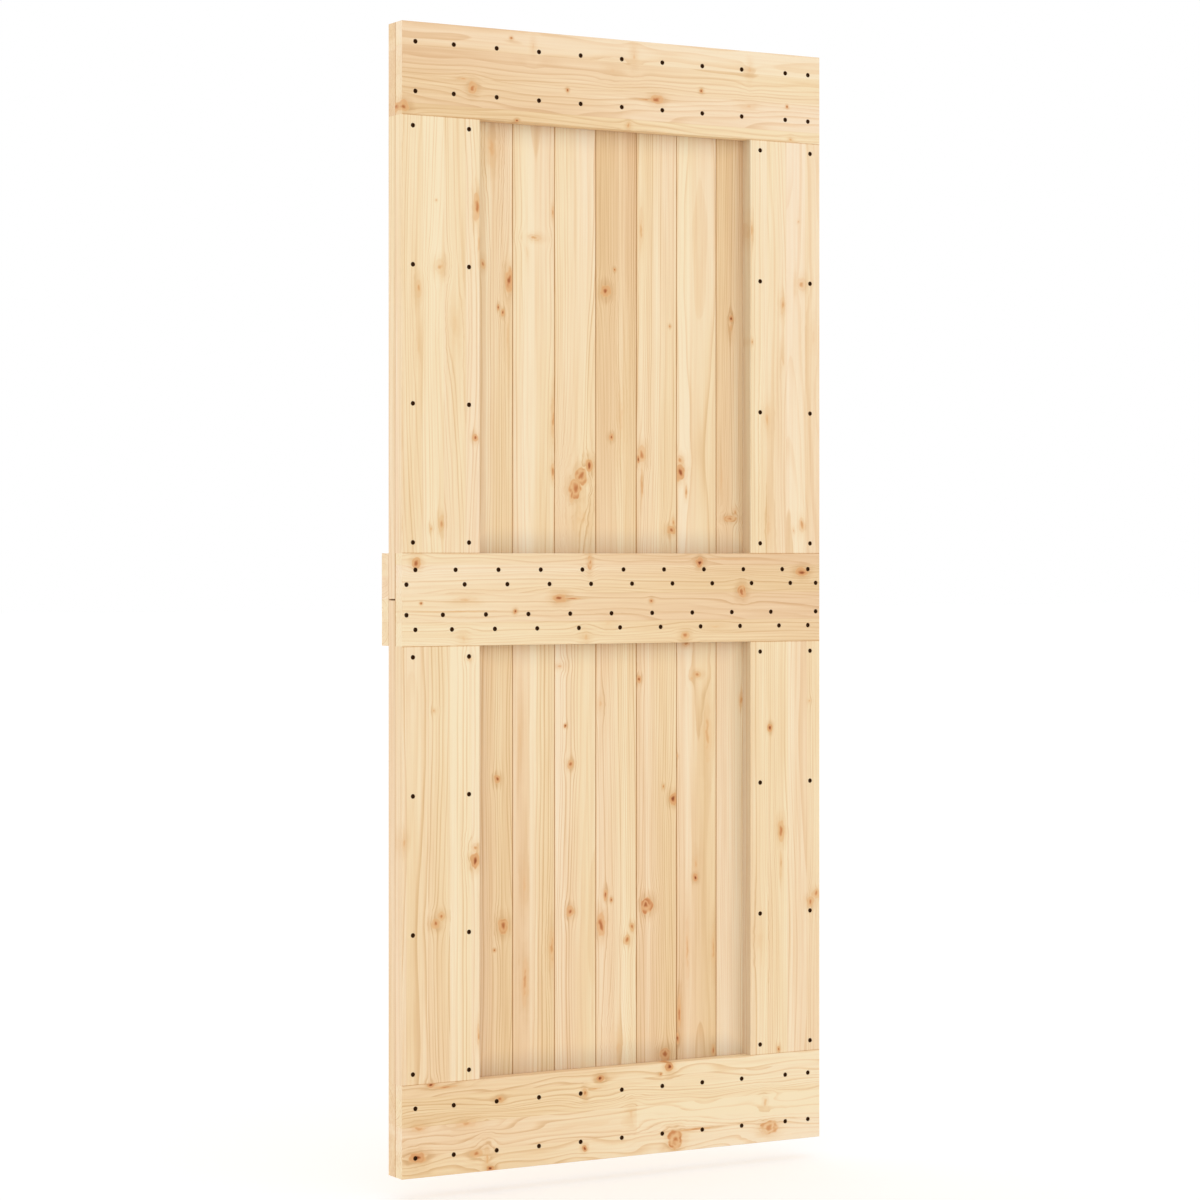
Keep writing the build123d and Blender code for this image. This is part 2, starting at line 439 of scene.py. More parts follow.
# %% Table of boards
# name: (tone at start, tone at end, pith across, pith depth, ring width, pale strip centre, half width)
RAILS = {
    "top_rail": (0.60, 0.20, 0, 60, 3.4, -21, 21),
    "middle_rail": (0.24, 0.70, 0, 60, 3.4, -1105, 21),
    "bottom_rail": (0.44, 0.02, 0, 60, 3.8, -2018, 24),
    "middle_ledge": (0.35, 0.35, 0, 60, 3.5, -1042, 1),
}
STILES = {
    "upper_left_stile": (0.28, 0.15, 0, 70, 3.6, -386, 22),
    "upper_right_stile": (0.33, 0.21, 0, 70, 3.6, 396, 22),
    "lower_left_stile": (0.38, 0.30, 0, 70, 3.6, -322, 31),
    "lower_right_stile": (0.28, 0.24, 0, 70, 3.6, 380, 12),
}
PLANKS = {
    "top_core_rail": (0.40, 0.40, 20, 120, 3.4, -40, 10),
    "bottom_core_rail": (0.40, 0.40, -30, 110, 3.4, -2000, 10),
    "upper_plank_01": (0.30, 0.30, 40, 110, 3.2, -430, 8),
    "upper_plank_02": (0.40, 0.30, -20, 70, 3.6, -340, 10),
    "upper_plank_03": (0.46, 0.32, -55, 80, 3.8, -260, 5),
    "upper_plank_04": (0.28, 0.22, 8, 52, 4.6, -176, 13),
    "upper_plank_05": (0.48, 0.10, 70, 100, 4.2, -60, 10),
    "upper_plank_06": (0.48, 0.72, 150, 70, 3.6, 20, 4),
    "upper_plank_07": (0.34, 0.34, -90, 90, 3.8, 100, 6),
    "upper_plank_08": (0.32, 0.22, 10, 130, 4.4, 160, 12),
    "upper_plank_09": (0.42, 0.66, -110, 60, 3.8, 276, 6),
    "upper_plank_10": (0.35, 0.35, 30, 80, 3.6, 350, 8),
    "upper_plank_11": (0.30, 0.30, -40, 90, 3.4, 430, 8),
    "lower_plank_01": (0.35, 0.30, -50, 90, 3.2, -420, 8),
    "lower_plank_02": (0.45, 0.35, 60, 80, 3.6, -350, 8),
    "lower_plank_03": (0.62, 0.58, 90, 90, 3.8, -240, 8),
    "lower_plank_04": (0.62, 0.24, -18, 56, 4.4, -166, 8),
    "lower_plank_05": (0.44, 0.24, 46, 70, 4.4, -108, 11),
    "lower_plank_06": (0.24, 0.40, -120, 90, 3.6, 30, 6),
    "lower_plank_07": (0.60, 0.34, 120, 80, 3.6, 80, 4),
    "lower_plank_08": (0.64, 0.32, 12, 54, 4.6, 170, 8),
    "lower_plank_09": (0.29, 0.42, -150, 60, 3.4, 276, 40),
    "lower_plank_10": (0.40, 0.40, -70, 90, 3.6, 380, 8),
    "lower_plank_11": (0.35, 0.35, 30, 90, 3.4, 430, 8),
}
print("boards in the tables", len(RAILS) + len(STILES) + len(PLANKS))

# %% [markdown]
# ## Where the branches stood
# Knots lead the eye on a bare door, so each clear one gets its place: middle across and up the leaf, half
# width and half height, all in millimetres, and then its darkness in percent. Long narrow entries are the
# red streaks where a knot was sawn along its length.

# %% Table of knots
KNOTS = {
    "top_rail": (
        (-307, -112, 9, 11, 62), (-446, -154, 10, 10, 68), (-181, -28, 5, 13, 25), (34, -30, 6.6, 15.4, 31),
        (290, -33, 6.6, 16.5, 28), (-12, -58, 14, 10, 17), (84, -107, 14, 8, 64),
        (287, -105, 17.6, 6.6, 23), (182, -83, 4.4, 4.4, 79), (-109, -102, 3.5, 3.5, 85),
        (-227, -15, 3.5, 3, 73), (22, -160, 5.5, 8.8, 39), (-215, -165, 4, 3, 86), (375, -100, 3, 3, 84),
        (383, -163, 6.6, 5.5, 34), (58, -108, 20, 1.6, 54), (-326, -97, 14, 3, 34),
    ),
    "middle_rail": (
        (-421, -976, 9, 10, 71), (-61, -976, 5, 14, 56), (178, -976, 7.7, 8.8, 86), (409, -994, 13, 9, 78),
        (272, -1030, 9, 12, 77), (-322, -1043, 22, 6.6, 26), (-125, -1041, 14, 9, 71),
        (72, -1047, 4.4, 4.4, 67), (-219, -1065, 4.4, 4.4, 84), (-412, -1049, 3, 3, 79),
        (-326, -1113, 8.8, 13.2, 24), (-70, -1113, 8.8, 11, 29), (146, -1113, 9, 8, 54),
        (-22, -1088, 13.2, 8.8, 17), (212, -1097, 19.8, 5.5, 19), (-62, -958, 5, 4, 30),
        (-100, -1042, 20, 1.8, 60), (-340, -1064, 95, 1.2, 32), (245, -969, 140, 1.6, 32),
    ),
    "bottom_rail": (
        (-391, -1919, 8, 5, 84), (-251, -1957, 9, 6, 60), (-39, -1934, 8.8, 6.6, 86),
        (111, -1924, 8.8, 9.9, 84), (92, -1937, 4, 3, 66), (-72, -1959, 6, 10, 56),
        (-320, -1995, 20.9, 7.7, 37), (-416, -1995, 15, 8, 37), (28, -2005, 8.8, 15.4, 28),
        (325, -2008, 9, 14, 35), (-419, -2048, 17, 10, 83), (-297, -2051, 13, 8, 55),
        (-277, -2060, 6, 20, 39), (-270, -2081, 8.8, 5.5, 86), (-72, -2062, 5.5, 5.5, 80),
        (124, -2062, 15.4, 17.6, 76), (334, -2059, 19.8, 12.6, 60), (166, -2047, 38, 2.2, 54),
        (-362, -1925, 26, 2.5, 54), (-52, -1953, 16, 2, 40),
    ),
    "upper_left_stile": (
        (-298, -330, 7, 26, 57), (-373, -440, 11, 13.2, 37), (-417, -481, 6.6, 17.6, 37),
        (-417, -588, 5.5, 22, 17), (-381, -320, 3, 3, 34), (-343, -542, 11, 33, 17),
        (-302, -748, 5.5, 7.7, 69), (-371, -904, 7, 14, 42), (-392, -914, 4.4, 6.6, 31),
        (-294, -395, 3, 40, 32),
    ),
    "upper_right_stile": (
        (409, -440, 11, 13.2, 41), (365, -481, 6.6, 17.6, 36), (365, -588, 5.5, 22, 17),
        (401, -320, 3, 3, 30), (295, -342, 4, 22, 35), (296, -554, 3, 6, 44), (330, -701, 8, 24, 29),
        (333, -907, 8.8, 49.5, 19), (409, -904, 7, 14, 40), (390, -914, 4.4, 6.6, 26),
        (436, -542, 9.9, 30.8, 17),
    ),
    "lower_left_stile": (
        (-301, -1518, 9.9, 14.3, 80), (-301, -1494, 8.8, 8.8, 39), (-382, -1629, 9, 9, 62),
        (-370, -1615, 8, 8, 55), (-295, -1836, 4, 20, 39), (-386, -1243, 4.4, 4.4, 33),
        (-314, -1150, 6, 5, 39), (-445, -1480, 5.5, 16.5, 30), (-394, -1915, 9, 4, 19),
    ),
    "lower_right_stile": (
        (336, -1292, 5.5, 7.7, 81), (362, -1489, 8, 20, 55), (361, -1550, 3, 28, 37),
        (429, -1629, 9, 9, 56), (441, -1615, 8.8, 8.8, 51), (426, -1243, 4.4, 4.4, 28),
        (356, -1909, 4.4, 6.6, 67), (312, -1697, 11, 33, 17),
    ),
    "upper_plank_03": (
        (-271, -428, 6, 11, 51), (-216, -456, 9, 22, 69), (-229, -516, 4.4, 7.7, 67),
        (-239, -506, 2.5, 6, 76), (-218, -560, 5.5, 60.5, 20), (-253, -213, 13, 36, 37),
    ),
    "upper_plank_04": (
        (-162, -375, 15, 6, 44), (-179, -401, 4.4, 24.2, 17), (-124, -327, 3, 12, 44),
        (-124, -713, 4.4, 39.6, 43), (-124, -807, 4.4, 17.6, 51),
    ),
    "upper_plank_05": (
        (-77, -838, 12, 17, 76), (-64, -814, 11.5, 15, 70), (-46, -795, 9, 12, 74), (-62, -890, 24, 44, 25),
        (-84, -850, 5.5, 15.4, 50),
    ),
    "upper_plank_06": (
        (-12, -468, 9.9, 12.1, 74), (8, -427, 3, 4, 66), (1, -741, 5.5, 6.6, 70), (23, -705, 8.8, 70.4, 20),
    ),
    "upper_plank_07": (
        (66, -348, 5.5, 37.4, 31), (68, -772, 8.8, 16.5, 51), (60, -782, 3, 8, 86), (68, -828, 3, 36, 40),
        (132, -914, 10, 8, 68), (137, -900, 4.4, 8.8, 42), (129, -529, 3, 3.5, 50),
    ),
    "upper_plank_08": (
        (152, -806, 9.9, 14.3, 78), (152, -782, 8.8, 9.9, 43), (165, -842, 3, 12, 52),
    ),
    "upper_plank_09": (
        (266, -509, 5, 6.6, 84), (265, -528, 5, 18, 31), (263, -892, 15, 6, 61), (275, -880, 5, 8, 37),
        (244, -815, 5, 50, 21),
    ),
    "lower_plank_03": (
        (-241, -1373, 6.6, 8.8, 73), (-228, -1643, 11, 14, 74), (-247, -1687, 3, 3, 72),
    ),
    "lower_plank_04": (
        (-194, -1300, 6, 60, 17), (-183, -1750, 8, 42, 41), (-126, -1689, 7, 38, 41),
        (-185, -1571, 7, 42, 23),
    ),
    "lower_plank_05": (
        (-111, -1168, 9.9, 5.5, 31), (-98, -1279, 3.4, 4, 90), (-87, -1350, 7, 8, 62),
        (-87, -1624, 7.7, 9.9, 67),
    ),
    "lower_plank_06": (
        (-11, -1597, 5, 10, 66), (1, -1607, 3, 5, 73), (-21, -1652, 9, 21, 64), (35, -1684, 7, 9, 57),
        (46, -1660, 5, 8, 59), (-23, -1239, 8, 12, 25), (18, -1888, 14, 30, 26),
    ),
    "lower_plank_07": (
        (61, -1196, 5.5, 7.7, 70), (136, -1423, 7.7, 11, 81), (115, -1399, 3, 5, 52),
        (78, -1621, 12, 14, 86), (119, -1905, 11, 12, 75), (52, -1169, 4.2, 4.2, 39),
    ),
    "lower_plank_08": (
        (165, -1129, 9, 6, 46), (190, -1188, 10, 6, 50), (178, -1195, 6, 7, 26), (145, -1342, 3, 4, 36),
        (186, -1574, 5.5, 7.7, 83), (187, -1550, 5, 20, 32), (168, -1712, 5, 62, 32),
        (150, -1830, 4, 34, 59), (146, -1877, 4.4, 9.9, 72), (212, -1300, 9, 60, 32),
        (226, -1712, 5, 42, 34), (226, -1906, 5, 14, 56),
    ),
    "lower_plank_09": (
        (288, -1239, 5, 15, 40),
    ),
}
print("knots placed", sum(len(places) for places in KNOTS.values()))

# %% [markdown]
# ## Boards of which little shows
# The outer planks, the core rails and the ledge lie behind the frame and show from the back only. They
# get a few knots too, drawn with a fixed seed so that every run gives the same door.

# %% Knots of the covered boards
LONG_BOARD = 300
KNOT_MARGIN = 12
KNOT_SIZES, KNOT_STRETCH, KNOT_DARKNESS = (4, 10), (1.0, 1.5), (50, 85)
FIRST_KNOT_SEED = 11


def drawn_knots(name, seed):
    """Three knots well inside a long board, or one in a short board."""
    draw = random.Random(seed)
    low, high = [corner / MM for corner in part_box(name)]
    places = []
    for _ in range(3 if max(high.z - low.z, high.x - low.x) > LONG_BOARD else 1):
        size = draw.uniform(*KNOT_SIZES)
        x = draw.uniform(low.x + KNOT_MARGIN, high.x - KNOT_MARGIN)
        z = draw.uniform(low.z + KNOT_MARGIN, high.z - KNOT_MARGIN)
        height = size * draw.uniform(*KNOT_STRETCH)
        places.append((x, z, size, height, draw.uniform(*KNOT_DARKNESS)))
    return tuple(places)


covered = [name for name in sorted(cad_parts) if name not in KNOTS]
for seed, name in enumerate(covered, start=FIRST_KNOT_SEED):
    KNOTS[name] = drawn_knots(name, seed)
print("boards with drawn knots", len(covered))

# %% [markdown]
# ## What makes a board light or dark
# Every effect on a board adds to one tone, and the ramp above turns the tone into a colour. So an effect
# needs only a share, which says how far it moves the tone at full strength. The rails are calm and the
# planks show their rings more. A few boards get values of their own, where the figure is plainer or wilder.

# %% Shares of the tone
LATE_SHARES = {
    "top_rail": 0.34, "middle_rail": 0.40, "bottom_rail": 0.48, **{name: 0.44 for name in STILES},
}
PLANK_LATE_SHARE = 0.53
FIBRE_SHARE = 0.66
HALO_SHARE = 0.60
# what differs between upright boards and rails: shares of the tone, and how far the rings wander in metres
# the layer share is painted shade along the seam where a frame board meets the planks
UPRIGHT = {"broad": 0.70, "pale": 0.20, "layer": 0.3, "wander": 0.024}
LYING = {"broad": 0.50, "pale": 0.18, "layer": 1.9, "wander": 0.026}
# how far the rings waver in metres, and where along a board its pale strip starts
WAVERS = {"top_rail": 0.003, "middle_rail": 0.004, "bottom_rail": 0.012}
PLAIN_WAVER = 0.0016
PALE_STARTS = {"bottom_rail": 0.04}


def darken(tree, tone, mask, share):
    """The tone with a share of a mask added to it."""
    return calc(tree, "MULTIPLY_ADD", mask, share, tone)


print("boards with their own ring share", len(LATE_SHARES))

# %% [markdown]
# ## The knots of one board
# A board's knots run through the knot group one after the other. Real knots are never true ovals, so one
# noise pushes the outlines of them all about. Each knot's place is turned to lie along and across the grain.

# %% Knots of a board
KNOT_ROUGHNESS = (60.0, 90.0, 40.0)


def knots_into(tree, name, grain, upright):
    """The chain of a board's knots: how deep, how warm, and how far the grain is pushed."""
    rough = noise(tree, grain, KNOT_ROUGHNESS, 1.0)["Color"]
    ragged = tree.nodes.new("ShaderNodeVectorMath")
    ragged.operation = "SUBTRACT"
    tree.links.new(rough, ragged.inputs[0])
    ragged.inputs[1].default_value = (0.5, 0.5, 0.5)
    heart, halo, push = 0.0, 0.0, 0.0
    for x, z, half_x, half_z, darkness in KNOTS[name]:
        place = (z, x, half_z, half_x) if upright else (x, z, half_x, half_z)
        at_along, at_across, half_length, half_width = [length * MM for length in place]
        heart, halo, push = place_group(
            tree, PINE_KNOT, Grain=grain, Ragged=ragged.outputs[0], Heart=heart, Halo=halo, Push=push,
            Knot_Along=at_along, Knot_Across=at_across, Half_Length=half_length, Half_Width=half_width,
            Darkness=darkness / 100,
        )
    return heart, halo, push


print("most knots on one board", max(len(places) for places in KNOTS.values()))

# %% [markdown]
# ## The lie of the grain
# A shader knows only where a point is in the leaf. For wood it has to know where the point is in its board:
# along the grain, across it and how deep. In a glued board it also has to know in which stave, because each
# stave has a pith of its own. The staves here are longer than any board, so none has an end joint.

# %% Grain of a board
# name: (edge of one stave, stave width), in millimetres
STAVE_EDGES = {
    "top_rail": (-43, 52), "middle_rail": (-1083.5, 52), "bottom_rail": (-1993, 52),
    "middle_ledge": (-1042, 42),
    "upper_left_stile": (-365, 44), "upper_right_stile": (417, 44),
    "lower_left_stile": (-353, 44), "lower_right_stile": (332, 44),
}
STAVE_LENGTH = 60.0
PITH_SPREAD = 0.16
SHADE_SHARE = 0.10
GLUE_SHARE = 0.20


def board_axes(tree, name, upright):
    """A point's place in the leaf and along and across the grain, with the limits of its board."""
    low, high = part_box(name)
    x, y, z = parts(tree, tree.nodes.new("ShaderNodeTexCoord").outputs["Object"])
    lie = SimpleNamespace(x=x, y=y, z=z, low=low, high=high)
    lie.along, lie.across = (z, x) if upright else (x, z)
    lie.start, lie.end = (low.z, high.z) if upright else (low.x, high.x)
    side, other_side = (low.x, high.x) if upright else (low.z, high.z)
    lie.middle = (side + other_side) / 2
    lie.grain = vector(tree, lie.along, lie.across, y)
    return lie


def stave_grain(tree, name, seed, lie, pith_across, tone):
    """The grain, pith and tone of the stave that a point lies in, or of a plank in one piece."""
    if name not in STAVE_EDGES:
        local = vector(tree, lie.along, minus(tree, lie.across, lie.middle), lie.y)
        return local, pith_across * MM, tone
    first_edge, width = STAVE_EDGES[name]
    strips = place_group(
        tree, GLUED_STAVES, Grain=lie.grain, First_Edge=first_edge * MM, Stave_Width=width * MM,
        Length=STAVE_LENGTH, Seed=float(seed),
    )
    tone = darken(tree, tone, strips["Shade"], SHADE_SHARE)
    tone = darken(tree, tone, strips["Glue"], GLUE_SHARE)
    return strips["Grain"], times(tree, strips["Shade"], PITH_SPREAD), tone


print("glued boards", len(STAVE_EDGES))

# %% [markdown]
# ## Joints, layers and ends
# Eased edges along a joint read as one fine dark line, and so does the seam between the frame and the planks.
# The solids have the shape of these edges, but their shade is too faint on its own, so masks from the
# board's own limits paint shade, with a little dirt, into the wood along them. The sawn ends of the rails
# get tones of their own in the same way.

# %% Joint lines and ends
# painted shade with a little dirt in joints and seams: its share of the tone, and the widths of its bands in
# metres
JOINT_SHARE = 1.1
JOINT_BAND = (0.0016, 0.0004)
FACE_BAND = (0.0016, 0.0008)
LAYER_BAND = (0.0030, 0.0010)
END_BAND = (0.0004, 0.0001)
END_TONES = {
    "top_rail": -0.42, "middle_rail": -0.08, "bottom_rail": -0.30, "middle_ledge": -0.12,
    "top_core_rail": 0.15, "bottom_core_rail": 0.08,
}
FACE_FRAME = ("top_rail", "middle_rail", "bottom_rail", *STILES)
PLANK_PITCH = 88.2
PLANK_JOINTS = [-385.3 + PLANK_PITCH * count for count in range(10)]
PLANK_LINES = [line * MM for line in (-450.0, *PLANK_JOINTS, 450.0)]
PLANK_FACES = {
    f"{row}_plank_{number:02d}": (left, right)
    for row in ("upper", "lower")
    for number, (left, right) in enumerate(zip(PLANK_LINES, PLANK_LINES[1:]), start=1)
}


def joint_shade_and_dirt(tree, value, low, high, depth, front):
    """The eased edge of a board along a joint, where painted shade and a little dirt darken the wood."""
    to_edge = minus(tree, (high - low) / 2, apart(tree, value, (low + high) / 2))
    by_face = fade(tree, apart(tree, depth, front), *FACE_BAND)
    return times(tree, fade(tree, to_edge, *JOINT_BAND), by_face)


def edge_tone(tree, name, lie, layer_share, tone):
    """Adds the painted shade and dirt of the seams and joint lines, and the tones of the sawn ends, to a
    board's tone.
    """
    if name in FACE_FRAME:
        # painted shade along the seam where the frame board meets the planks behind it
        to_planks = minus(tree, lie.high.y, lie.y)
        tone = darken(tree, tone, fade(tree, to_planks, *LAYER_BAND), layer_share)
    if name in STILES:
        # painted shade and dirt along the stile's ends, where it meets the rails
        line = joint_shade_and_dirt(tree, lie.along, lie.start, lie.end, lie.y, lie.low.y)
        tone = darken(tree, tone, line, JOINT_SHARE)
    if name in PLANK_FACES:
        # painted shade and dirt along the plank's joints, on its front and back
        for face in (lie.low.y, lie.high.y):
            line = joint_shade_and_dirt(tree, lie.across, *PLANK_FACES[name], lie.y, face)
            tone = darken(tree, tone, line, JOINT_SHARE)
    if name in END_TONES:
        half = (lie.end - lie.start) / 2
        off_middle = apart(tree, lie.along, (lie.start + lie.end) / 2)
        bare_end = fade(tree, off_middle, half - END_BAND[0], half - END_BAND[1])
        tone = darken(tree, tone, bare_end, END_TONES[name])
    return tone


print("plank joints in mm", [round(joint, 1) for joint in PLANK_JOINTS])

# %% [markdown]
# ## Painted shade in the panels
# Grey shade is painted where the planks meet the frame round them: most at the foot of a panel, less at its
# head and sides, and on the inner sides of the stiles. A light falloff alone would leave these corners too
# warm, so the painted shade is a mask that the colour group tints grey.

# %% Panel dust
PANEL_SIDE = 0.292
PANEL_ENDS = {"upper": (-0.9585, -0.168), "lower": (-1.917, -1.1265)}
# painted shade: how far it reaches from the foot, head and sides of a panel in metres, and its strength
FOOT_PAINTED_SHADE, HEAD_PAINTED_SHADE, SIDE_PAINTED_SHADE = 0.055, 0.050, 0.040
HEAD_PAINTED_SHADE_SHARE, SIDE_PAINTED_SHADE_SHARE = 0.6, 0.5
PAINTED_SHADE_DEPTH = (0.0012, 0.0008)
INNER_SIDE = (0.0004, 0.0002)


def panel_painted_shade(tree, lie, foot, head):
    """Painted grey shade in the corners of a recessed panel: most at its foot, less at its head and sides."""
    at_foot = fade(tree, minus(tree, lie.z, foot), FOOT_PAINTED_SHADE, 0.0)
    at_head = fade(tree, minus(tree, head, lie.z), HEAD_PAINTED_SHADE, 0.0, 0.0, HEAD_PAINTED_SHADE_SHARE)
    to_middle = calc(tree, "ABSOLUTE", lie.x)
    at_side = fade(tree, to_middle, PANEL_SIDE - SIDE_PAINTED_SHADE, PANEL_SIDE, 0.0, SIDE_PAINTED_SHADE_SHARE)
    most = calc(tree, "MAXIMUM", at_foot, calc(tree, "MAXIMUM", at_head, at_side))
    return times(tree, most, fade(tree, lie.y, *[lie.low.y + depth for depth in PAINTED_SHADE_DEPTH]))


def board_painted_shade(tree, name, lie):
    """The painted shade on a plank's panel face or on a stile's inner side."""
    if name in PLANK_FACES:
        return panel_painted_shade(tree, lie, *PANEL_ENDS[name.split("_")[0]])
    if name in STILES:
        # painted shade on the inner side of a stile, next to the panel
        return fade(tree, calc(tree, "ABSOLUTE", lie.x), *[PANEL_SIDE + depth for depth in INNER_SIDE])
    return 0.0


print("panel heights in mm", {row: round((head - foot) / MM, 1) for row, (foot, head) in PANEL_ENDS.items()})

# %% [markdown]
# ## The pine material
# The groups now come together. The material reads Object coordinates and reorders them to follow the grain.
# Knots bend the rings, staves split the wide boards, and the sum of tone, rings and streaks picks the
# colour. Planks are a little warmer in hue than the frame. Bump and roughness follow the same fibres.

# %% Figure of a board
SEED_STEP = 0.731
PALE_DRIFT = 0.010
PALE_SOFT = 0.15
PALE_START_BAND = 0.001


def pale_strip(tree, name, lie, broad, centre, half):
    """A strip of sapwood along a board, which drifts with the broad streaks."""
    drift = calc(tree, "MULTIPLY_ADD", broad, PALE_DRIFT, lie.across)
    off_strip = apart(tree, drift, centre + PALE_DRIFT / 2)
    pale = fade(tree, off_strip, half * (1 + PALE_SOFT), half * (1 - PALE_SOFT))
    if name in PALE_STARTS:
        start = PALE_STARTS[name]
        begun = fade(tree, lie.along, start - PALE_START_BAND, start + PALE_START_BAND)
        pale = times(tree, pale, begun)
    return pale


def board_figure(tree, name, values, seed, upright, lie):
    """A board's tone and the masks that its finish needs."""
    tone_start, tone_end, pith_across, pith_depth, ring_width, pale_centre, pale_half = values
    kind = UPRIGHT if upright else LYING
    heart, halo, push = knots_into(tree, name, lie.grain, upright)
    tone = fade(tree, lie.along, lie.start, lie.end, tone_start, tone_end)
    local, pith, tone = stave_grain(tree, name, seed, lie, pith_across, tone)
    rings = place_group(
        tree, PINE_RINGS, Grain=local, Push=push, Seed=seed * SEED_STEP, Pith_Across=pith,
        Pith_Depth=pith_depth * MM, Ring_Width=ring_width * MM, Wander=kind["wander"],
        Waver=WAVERS.get(name, PLAIN_WAVER),
    )
    pale = pale_strip(tree, name, lie, rings["Broad"], pale_centre * MM, pale_half * MM)
    tone = darken(tree, tone, pale, -kind["pale"])
    tone = darken(tree, tone, halo, HALO_SHARE)
    tone = darken(tree, tone, rings["Late"], LATE_SHARES.get(name, PLANK_LATE_SHARE))
    tone = darken(tree, tone, minus(tree, rings["Broad"], 0.5), kind["broad"])
    tone = darken(tree, tone, minus(tree, rings["Fibre"], 0.5), FIBRE_SHARE)
    tone = edge_tone(tree, name, lie, kind["layer"], tone)
    return SimpleNamespace(tone=tone, heart=heart, fibre=rings["Fibre"], local=local)


print("pale strips start late on", list(PALE_STARTS))

# %% Pine material
HUE_STREAKS = (0.9, 14.0, 14.0)
PLANK_WARMTH = 0.10
PINE_SPECULAR = 0.15
FIBRE_BUMP, FIBRE_HEIGHT = 0.25, 0.0004


def add_bump(tree, shader, height, strength, distance):
    """A Bump node from a height to the shader's normal."""
    bump = tree.nodes.new("ShaderNodeBump")
    bump.inputs["Strength"].default_value = strength
    bump.inputs["Distance"].default_value = distance
    tree.links.new(height, bump.inputs["Height"])
    tree.links.new(bump.outputs["Normal"], shader.inputs["Normal"])


def new_material(name):
    """A material with its node tree and its shader."""
    material = bpy.data.materials.new(name)
    material.use_nodes = True
    tree = material.node_tree
    return material, tree, tree.nodes["Principled BSDF"]


def pine(name, values, seed, upright):
    """One board's material."""
    material, tree, shader = new_material(f"pine_{name}")
    lie = board_axes(tree, name, upright)
    figure = board_figure(tree, name, values, seed, upright, lie)
    warmth = noise(tree, figure.local, HUE_STREAKS, 0.0)[0]
    if name in PLANK_FACES:
        warmth = plus(tree, warmth, PLANK_WARMTH)
    # painted shade greys the panel corners and the stiles' inner sides through the colour group
    finish = place_group(
        tree, PINE_COLOURS, Darkness=figure.tone, Heart=figure.heart, Fibre=figure.fibre, Warmth=warmth,
        Dust=board_painted_shade(tree, name, lie),
    )
    tree.links.new(finish["Color"], shader.inputs["Base Color"])
    tree.links.new(finish["Roughness"], shader.inputs["Roughness"])
    shader.inputs["Specular IOR Level"].default_value = PINE_SPECULAR
    add_bump(tree, shader, finish["Height"], FIBRE_BUMP, FIBRE_HEIGHT)
    return material


print("plank warmth", PLANK_WARMTH)

# %% [markdown]
# ## Dress the boards
# Each board gets one material, built from its row in the tables. The seed is the row's number, so two
# boards with the same values still come from different trees.

# %% Give every board its pine
FIRST_SEED = 3
for seed, (name, values) in enumerate({**RAILS, **STILES, **PLANKS}.items(), start=FIRST_SEED):
    upright = "rail" not in name and "ledge" not in name
    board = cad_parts[name]
    board.data.materials.clear()
    board.data.materials.append(pine(name, values, seed, upright))
print("pine materials", sum(material.name.startswith("pine_") for material in bpy.data.materials))

# %% [markdown]
# ## Screws
# Dark screws hold the frame to the planks, one in each seat of the CAD boards. There are 120 of them, so
# a head has few faces: a capped circle is inset, every third inner corner is drawn in to form a cross,
# and the cross is pushed down for the driver. The rim is bevelled, because a real head has no sharp edge.

# %% One screw head
# lengths in millimetres
HEAD_RADIUS, HEAD_DEPTH, HEAD_SIDES = 4.2, 2.7, 12
CROSS_INSET, CROSS_WAIST = 1.5, 0.42
RECESS_DEPTH, RECESS_TAPER = 1.2, 0.7
RIM_BEVEL = 0.35
NEAR, NEAR_DIAGONAL = 0.01, 0.2


def screw_head():
    """A head in millimetres that faces +Z, with its rim's top at Z 0."""
    shape = bmesh.new()
    bmesh.ops.create_circle(shape, cap_ends=True, segments=HEAD_SIDES, radius=HEAD_RADIUS)
    half_side = Matrix.Rotation(math.pi / HEAD_SIDES, 3, "Z")
    bmesh.ops.rotate(shape, verts=shape.verts, matrix=half_side)
    top = shape.faces[:]
    rim = [edge for edge in shape.edges if edge.is_boundary]
    wall = bmesh.ops.extrude_edge_only(shape, edges=rim)["geom"]
    foot = [item for item in wall if isinstance(item, bmesh.types.BMVert)]
    bmesh.ops.translate(shape, verts=foot, vec=(0, 0, -HEAD_DEPTH))
    bmesh.ops.inset_region(shape, faces=top, thickness=CROSS_INSET)
    cross = max(shape.faces, key=lambda face: len(face.verts))
    corners = [v for v in cross.verts if abs(abs(v.co.x) - abs(v.co.y)) < NEAR_DIAGONAL]
    bmesh.ops.scale(shape, verts=corners, vec=(CROSS_WAIST, CROSS_WAIST, 1))
    recess = bmesh.ops.extrude_face_region(shape, geom=[cross])["geom"]
    floor = [item for item in recess if isinstance(item, bmesh.types.BMVert)]
    bmesh.ops.delete(shape, geom=[cross], context="FACES_ONLY")
    bmesh.ops.translate(shape, verts=floor, vec=(0, 0, -RECESS_DEPTH))
    bmesh.ops.scale(shape, verts=floor, vec=(RECESS_TAPER, RECESS_TAPER, 1))
    on_rim = [v for v in shape.verts if abs(v.co.z) < NEAR and abs(v.co.xy.length - HEAD_RADIUS) < NEAR]
    edges = [edge for edge in shape.edges if all(v in on_rim for v in edge.verts)]
    bmesh.ops.bevel(
        shape, geom=edges, offset=RIM_BEVEL, affect="EDGES", segments=1, profile=0.5, material=-1,
        clamp_overlap=True,
    )
    bmesh.ops.recalc_face_normals(shape, faces=shape.faces)
    mesh = bpy.data.meshes.new("screw_head")
    shape.to_mesh(mesh)
    shape.free()
    return mesh


